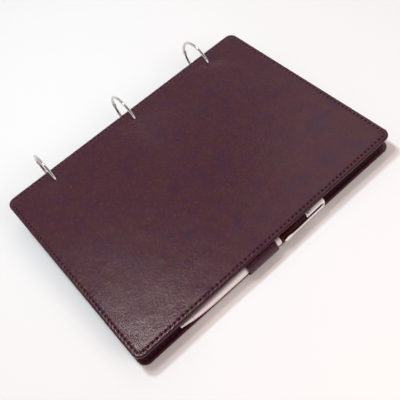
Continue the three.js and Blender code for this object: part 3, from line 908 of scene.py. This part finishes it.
class PADFOLIO_OT_rings(bpy.types.Operator):
    """Makes the three hinged wire rings, each with a fixed part, a gate and a pin"""

    bl_idname = "padfolio.rings"
    bl_label = "Rings"

    def execute(self, context):
        settings = context.scene.padfolio_rings
        middle = context.scene.padfolio_covers.book_thickness / 2
        # The hinge's legs along its pin: half the tongue, the gap beside it and one ear
        tongue, gap, ear = 0.35 * MM, 0.3 * MM, 0.55 * MM
        inner = tongue + gap
        # How far each wire stops short of the hinge's pin, and the width of the seam, as angles
        clear = 1.9 * MM / settings.radius
        seam = 0.3 * MM / settings.radius
        rivet_end = ((0.62, -0.02), (0.62, 0.02), (0.45, 0.1), (0, 0.12))
        rivet = [(r * MM, -inner - ear - out * MM) for r, out in reversed(rivet_end)]
        rivet += [(r * MM, inner + ear + out * MM) for r, out in rivet_end]
        at_hinge = Matrix.Translation(round_ring(settings.hinge) * settings.radius)
        for number, y in enumerate(RING_PLACES, 1):
            place = book_matrix() @ Matrix.Translation((-settings.offset, y, middle))
            fixed = bmesh.new()
            ring_wire(fixed, settings.hinge - 2 * math.pi + clear, settings.closure - seam,
                      settings)
            hinge_leg(fixed, 1, inner, inner + ear, settings)
            hinge_leg(fixed, 1, -inner - ear, -inner, settings)
            make_piece(fixed, f"ring_{number}_fixed_part", nickel(), "back",
                       [f"ring_{number}_base"], place)
            gate = bmesh.new()
            ring_wire(gate, settings.closure, settings.hinge - clear, settings)
            hinge_leg(gate, -1, -tongue, tongue, settings)
            make_piece(gate, f"ring_{number}_opening_part", nickel(), f"gate_{number}",
                       [f"ring_{number}_gate"], place)
            pin = bmesh.new()
            turned(pin, rivet, 20)
            make_piece(pin, f"ring_{number}_rivet", nickel(), "back", [f"ring_{number}_pin"],
                       place @ at_hinge)
        return {"FINISHED"}


# Pen loop


def strip_section(point, out, settings):
    """The strip's cross-section at one place of its path: thin, with softened corners."""
    ease = 0.2 * MM
    half, end = settings.ply / 2, settings.length / 2
    shape = ((ease - half, -end), (half - ease, -end), (half, ease - end), (half, end - ease),
             (half - ease, end), (ease - half, end), (-half, end - ease), (-half, ease - end))
    return [point + out * thick + Vector((0, settings.centre + y, 0)) for thick, y in shape]


class PADFOLIO_OT_pen_loop(bpy.types.Operator):
    """Makes the leather pen loop, folded round the pen and sewn down by its two ends"""

    bl_idname = "padfolio.pen_loop"
    bl_label = "Pen loop"

    def execute(self, context):
        settings = context.scene.padfolio_loop
        covers = context.scene.padfolio_covers
        axis_x = covers.width - context.scene.padfolio_pen.inset
        middle = covers.book_thickness / 2
        path = self.path(axis_x, middle, settings)
        rows = []
        for i, point in enumerate(path):
            ahead = path[min(i + 1, len(path) - 1)] - path[max(i - 1, 0)]
            out = Vector((ahead.z, 0, -ahead.x)).normalized()
            rows.append(strip_section(point, out, settings))
        mesh = bmesh.new()
        solid_loft(mesh, rows)
        make_piece(mesh, "pen_loop_strip", inner_leather(), "back", ["pen_loop"])
        threads = bmesh.new()
        top = middle - settings.radius + settings.ply
        for x in (axis_x - settings.tab_reach + 2.2 * MM, axis_x - settings.radius - 4 * MM):
            self.sew(threads, x, top, settings)
        make_piece(threads, "pen_loop_threads", sewing_thread(), "back", ())
        return {"FINISHED"}

    def path(self, axis_x, middle, settings):
        """The middle of the strip: the lower tab, the half turn that stands out past the pen,
        the turn over the pen, the bend down on to the lower tab, and the upper tab."""
        radius = settings.radius + settings.ply / 2
        low = middle - radius
        upper = low + settings.ply
        end = axis_x - settings.tab_reach
        path = [Vector((end + (axis_x - end) * k / 8, 0, low)) for k in range(9)]
        for centre, start, sweep, steps in (
                (axis_x + settings.ease, -82.5, 172.5, 23), (axis_x, 90, 132, 18)):
            for k in range(steps + 1):
                turn = math.radians(start + sweep * k / steps)
                path.append(Vector((centre + radius * math.cos(turn), 0,
                                    middle + radius * math.sin(turn))))
        last = path[-1]
        bend, lift, settle = 1.0 * MM, 0.25 * MM, 0.9 * MM
        knee = Vector((last.x - bend, 0, upper + lift))
        flat_x = knee.x - settle
        path += [last.lerp(knee, 0.55), knee]
        path += [Vector((flat_x + (end - flat_x) * k / 6, 0, upper)) for k in range(7)]
        return path

    def sew(self, mesh, x, height, settings):
        """One row of stitches across the tab."""
        count, margin = 8, 2 * MM
        pitch = (settings.length - 2 * margin) / count
        first = settings.centre - settings.length / 2 + margin + pitch / 2
        half_width, half_height = 0.32 * MM, 0.24 * MM
        stretch = Matrix.Diagonal((half_width, pitch * 0.36, half_height, 1))
        add_stitches(mesh, [Matrix.Translation((x, first + k * pitch, height)) @ stretch
                            for k in range(count)])


# Pen


def pen_matrix(context):
    """Takes the pen's own frame to its place in the loop: Y runs from the centre band's lower
    end towards the cap, and X towards the clip."""
    pen = context.scene.padfolio_pen
    covers = context.scene.padfolio_covers
    place = Matrix.Translation((covers.width - pen.inset, pen.band_place,
                                covers.book_thickness / 2))
    return book_matrix() @ place @ Matrix.Rotation(-pen.clip_turn, 4, "Y")


def clip_section(y, low, high, half_width):
    """The clip's cross-section at one distance along the pen, crowned on its outer face."""
    edge = min(0.14 * MM, (high - low) / 4)
    crown = 0.12 * MM
    shape = ((low, -half_width + edge), (low + edge, -half_width), (high - edge, -half_width),
             (high, -half_width + edge), (high + crown, 0), (high, half_width - edge),
             (high - edge, half_width), (low + edge, half_width), (low, half_width - edge),
             (low, 0))
    return [Vector((r, y, z)) for r, z in shape]


class PADFOLIO_OT_pen(bpy.types.Operator):
    """Makes the twist pen: barrels, nose, centre band, cap, end plug, clip, core and refill"""

    bl_idname = "padfolio.pen"
    bl_label = "Pen"

    def execute(self, context):
        settings = context.scene.padfolio_pen
        place = pen_matrix(context)
        silver = material_for("silver_plate", satin_silver)
        wine = material_for("wine_lacquer", gloss_lacquer, "2C030B")
        black = material_for("black_acetal", gloss_lacquer, "101012")
        brass = material_for("turned_brass", polished_metal, "B5924F", 0.2, 0.35)
        parts = (
            ("pen_lower_tube", "pen_lower_barrel", "pen_lower", silver, "satin_silver",
             self.lower_barrel()),
            ("pen_nose_cone", "pen_nose", "pen_lower", silver, "satin_silver", self.nose()),
            ("pen_band_ring", "pen_centre_band", "pen", silver, "satin_silver", self.band()),
            ("pen_upper_tube", "pen_upper_barrel", "pen", wine, "lacquer", self.upper_barrel()),
            ("pen_cap_shell", "pen_cap", "pen", chrome(), "bright_chrome", self.cap()),
            ("pen_end_button", "pen_end_plug", "pen", black, "black_plastic", self.plug()),
        )
        for name, node, body, material, slot, profile in parts:
            mesh = bmesh.new()
            turned(mesh, [(r * MM, y * MM) for r, y in profile], settings.facets)
            soften(mesh, 0.1 * MM, steepness=30)
            make_piece(mesh, name, material, body, [node], place)
        clip = bmesh.new()
        solid_loft(clip, self.clip_rows())
        make_piece(clip, "pen_clip_spring", chrome(), "pen", ["pen_clip"], place)
        paint("pen_twist_core", brass)
        paint("pen_refill", brass)
        return {"FINISHED"}

    # Each profile is (radius, distance along the pen) in millimetres

    def lower_barrel(self):
        low, high = -74.25, -0.25
        return ((2.35, low), (2.9, low), (3.12, low + 2.8), (3.32, low + 5.6),
                (3.55, low + 9.0), (3.74, low + 12.6), (3.86, low + 16.0), (3.9, low + 19.0),
                (3.9, high), (2.7, high), (2.7, high - 14.25), (1.9, high - 14.25),
                (1.9, low + 4.25), (2.35, low + 4.25))

    def nose(self):
        low, high = -84.3, -74.5
        return ((0.75, low), (1.05, low), (1.18, low + 0.5), (1.27, low + 1.0),
                (1.62, low + 3.0), (1.96, low + 5.1), (2.3, low + 6.6), (2.52, low + 7.9),
                (2.75, low + 9.0), (2.9, high), (2.1, high), (2.1, high + 4.0),
                (1.75, high + 4.0), (1.75, high - 1.0), (0.75, high - 4.9))

    def band(self):
        return ((2.7, 0.0), (3.85, 0.0), (4.05, 0.3), (4.05, 1.2), (3.88, 1.32), (3.88, 1.6),
                (4.05, 1.72), (4.05, 3.9), (3.85, 4.2), (2.7, 4.2))

    def upper_barrel(self):
        low, high = 4.45, 28.95
        return ((2.7, low), (3.9, low), (3.9, high), (3.15, high), (3.15, high + 6.0),
                (2.7, high + 6.0))

    def cap(self):
        low = 29.2
        return ((3.4, low), (3.9, low), (3.9, low + 1.1), (3.78, low + 1.25),
                (3.78, low + 1.45), (3.9, low + 1.6), (3.9, low + 8.0), (3.87, low + 11.0),
                (3.8, low + 14.4), (3.7, low + 16.9), (3.5, low + 17.55), (3.1, low + 17.9),
                (0.95, low + 17.9), (0.95, low + 16.4), (2.3, low + 16.4), (2.3, low + 6.0),
                (3.4, low + 6.0))

    def plug(self):
        end = 47.1
        return ((0, end - 4.0), (0.7, end - 4.0), (0.7, end + 0.25), (2.6, end + 0.25),
                (2.6, end + 0.6), (2.35, end + 0.85), (1.8, end + 1.02), (1.0, end + 1.12),
                (0, end + 1.15))

    def clip_rows(self):
        """The clip's sections from its root to its round free end: distance along the pen,
        the radii of its inner and outer faces, and half its width, in millimetres."""
        root, free = 45.1, 6.3
        neck = free + 8.0
        stations = (
            (root, 4.2, 4.55, 1.3), (root - 0.25, 4.2, 4.75, 1.45), (root - 0.8, 4.2, 4.85, 1.5),
            (root - 8, 4.31, 4.97, 1.3), (root - 18, 4.47, 5.12, 1.08), (neck + 4, 4.64, 5.3, 0.95),
            (neck, 4.7, 5.35, 1.1), (free + 6.6, 4.5, 5.36, 1.5), (free + 5.2, 4.22, 5.38, 1.88),
            (free + 3.6, 4.06, 5.38, 2.08), (free + 2.2, 4.06, 5.36, 2.04),
            (free + 1.0, 4.3, 5.34, 1.62), (free + 0.35, 4.55, 5.25, 1.1),
            (free + 0.05, 4.8, 5.1, 0.5))
        return [clip_section(y * MM, low * MM, high * MM, half * MM)
                for y, low, high, half in stations]


# Stage


def seen_directly(tree):
    """One for what the camera sees itself, in a mirror or through glass, nought for light."""
    path = add_node(tree, "LightPath").outputs
    mirrored = add_node(tree, "Math", {0: path["Is Camera Ray"], 1: path["Is Glossy Ray"]},
                        operation="ADD")
    return add_node(tree, "Math", {0: mirrored, 1: path["Is Transmission Ray"]},
                    operation="ADD", use_clamp=True)


class PADFOLIO_OT_stage(bpy.types.Operator):
    """Sets up the table, the soft lights and the camera at the photograph's viewpoint"""

    bl_idname = "padfolio.stage"
    bl_label = "Stage"

    def execute(self, context):
        settings = context.scene.padfolio_stage
        self.camera(context, settings)
        self.table(context, settings)
        self.lights(context, settings)
        self.sky(context, settings)
        context.scene.view_settings.view_transform = "Standard"
        return {"FINISHED"}

    def camera(self, context, settings):
        """Stands where the photograph's perspective puts the camera over the closed book."""
        eye = Vector((323.8, -113.4, 356.8)) * MM
        right = Vector((0.6430, 0.7432, -0.1841))
        down = Vector((0.5672, -0.6240, -0.5376))
        ahead = Vector((-0.5143, 0.2412, -0.8230))
        book = book_matrix()
        turn = book.to_3x3()
        axes = Matrix((turn @ right, -(turn @ down), -(turn @ ahead))).transposed()
        data = bpy.data.cameras.new("camera")
        data.sensor_width = 36
        data.lens = settings.lens / MM
        camera = bpy.data.objects.new("camera", data)
        camera.matrix_world = Matrix.Translation(book @ eye) @ axes.to_4x4()
        context.scene.collection.objects.link(camera)
        context.scene.camera = camera

    def table(self, context, settings):
        """A table top that reaches past everything in view."""
        mesh = bmesh.new()
        bmesh.ops.create_grid(mesh, x_segments=1, y_segments=1, size=4.0)
        data = bpy.data.meshes.new("table")
        mesh.to_mesh(data)
        mesh.free()
        data.materials.append(self.laminate(settings))
        table = bpy.data.objects.new("table", data)
        context.scene.collection.objects.link(table)

    def laminate(self, settings):
        """Matt white laminate, which gives way to plain white past the reach of any shadow.
        It has no pattern, because the photograph's table shows none."""
        material, tree, mm = new_material("matt_white_laminate")
        shader = add_node(tree, "BsdfPrincipled", {
            "Base Color": [*settings.floor, 1], "Roughness": 0.9, "Specular IOR Level": 0.2})
        distance = add_node(tree, "VectorMath", {0: mm}, operation="LENGTH")
        away = add_node(tree, "MapRange", {
            "Value": distance.outputs["Value"], "From Min": 350, "From Max": 900},
            interpolation_type="SMOOTHSTEP")
        share = add_node(tree, "Math", {0: away, 1: seen_directly(tree)}, operation="MULTIPLY")
        white = add_node(tree, "Emission", {"Color": (1, 1, 1, 1), "Strength": 1.0})
        mixed = add_node(tree, "MixShader", {0: share, 1: shader, 2: white})
        add_node(tree, "OutputMaterial", {"Surface": mixed})
        return material

    def lights(self, context, settings):
        """A small cool key lamp high beyond the ring edge and a broad one beside the open
        edge, which no surface mirrors, one overhead that the leather mirrors near its closest
        corner, and a broad one beyond the far end. All of them point at the book."""
        cool, warm = linear("DDF8FF")[:3], linear("FFF3EF")[:3]
        lamps = (
            ("key_light", (-0.42, -0.1, 1.0), 0.16, settings.key_watts, cool, False),
            ("fill_light", (0.72, 0.16, 0.58), 0.6, settings.fill_watts, warm, False),
            ("shine_light", (-0.21, -0.15, 1.11), 0.2, settings.shine_watts, warm, True),
            ("far_light", (-0.3, 0.7, 1.2), 0.8, settings.far_watts, warm, True))
        for name, place, across, watts, tint, mirrored in lamps:
            data = bpy.data.lights.new(name, "AREA")
            data.shape = "DISK"
            data.size = across
            data.energy = watts
            data.color = tint
            lamp = bpy.data.objects.new(name, data)
            lamp.location = place
            lamp.rotation_euler = (-Vector(place)).to_track_quat("-Z", "Y").to_euler()
            lamp.visible_glossy = mirrored
            context.scene.collection.objects.link(lamp)

    def sky(self, context, settings):
        """Warm light from all round, weaker from the sides. What is seen of it is a white
        backdrop, dimmer overhead, with a dark flag high over the near end of the open edge
        that gives polished metal its dark lines."""
        world = bpy.data.worlds.new("studio")
        world.use_nodes = True
        tree = world.node_tree
        tree.nodes.clear()
        towards = add_node(tree, "TexCoord").outputs["Generated"]
        up = add_node(tree, "SeparateXYZ", {"Vector": towards}).outputs["Z"]
        light = add_node(tree, "MapRange", {
            "Value": up, "From Min": 0.0, "From Max": 0.6, "To Min": settings.horizon,
            "To Max": settings.sky})
        glow = add_node(tree, "Background", {"Color": linear("FFE3D8"), "Strength": light})
        fade = add_node(tree, "MapRange", {
            "Value": up, "From Min": 0.15, "From Max": 0.6, "To Min": 1.0,
            "To Max": settings.ceiling})
        flag_place = (0.53, -0.24, 0.81)
        facing = add_node(tree, "VectorMath", {0: towards, 1: flag_place},
                          operation="DOT_PRODUCT")
        flag = add_node(tree, "MapRange", {
            "Value": facing.outputs["Value"], "From Min": 0.78, "From Max": 0.93,
            "To Min": 1.0, "To Max": settings.flag})
        shaded = add_node(tree, "Math", {0: fade, 1: flag}, operation="MULTIPLY")
        white = add_node(tree, "Background", {"Color": (1, 1, 1, 1), "Strength": shaded})
        seen = add_node(tree, "MixShader", {0: seen_directly(tree), 1: glow, 2: white})
        add_node(tree, "OutputWorld", {"Surface": seen})
        context.scene.world = world


class PADFOLIO_PT_panel(bpy.types.Panel):
    """Lists the pieces in the order in which they are made"""

    bl_idname = "PADFOLIO_PT_panel"
    bl_label = "Padfolio"
    bl_space_type = "VIEW_3D"
    bl_region_type = "UI"
    bl_category = "Padfolio"

    def draw(self, context):
        for operator in OPERATORS:
            self.layout.operator(operator.bl_idname)
        for name in SETTINGS:
            box = self.layout.box()
            settings = getattr(context.scene, name)
            for key in settings.bl_rna.properties.keys():
                if key not in ("rna_type", "name"):
                    box.prop(settings, key)


SETTINGS = {
    "padfolio_covers": CoverSettings,
    "padfolio_paper": PaperSettings,
    "padfolio_rings": RingSettings,
    "padfolio_pen": PenSettings,
    "padfolio_loop": LoopSettings,
    "padfolio_stage": StageSettings,
}
OPERATORS = (
    PADFOLIO_OT_stage, PADFOLIO_OT_covers, PADFOLIO_OT_pocket, PADFOLIO_OT_paper,
    PADFOLIO_OT_rings, PADFOLIO_OT_pen_loop, PADFOLIO_OT_pen,
)


def register():
    for name, group in SETTINGS.items():
        bpy.utils.register_class(group)
        setattr(bpy.types.Scene, name, PointerProperty(type=group))
    for operator in OPERATORS:
        bpy.utils.register_class(operator)
    bpy.utils.register_class(PADFOLIO_PT_panel)


def unregister():
    bpy.utils.unregister_class(PADFOLIO_PT_panel)
    for operator in reversed(OPERATORS):
        bpy.utils.unregister_class(operator)
    for name, group in reversed(SETTINGS.items()):
        delattr(bpy.types.Scene, name)
        bpy.utils.unregister_class(group)


def main():
    register()
    bpy.ops.padfolio.stage()
    bpy.ops.padfolio.covers()
    bpy.ops.padfolio.pocket()
    bpy.ops.padfolio.paper()
    bpy.ops.padfolio.rings()
    bpy.ops.padfolio.pen_loop()
    bpy.ops.padfolio.pen()


if __name__ == "__main__":
    main()
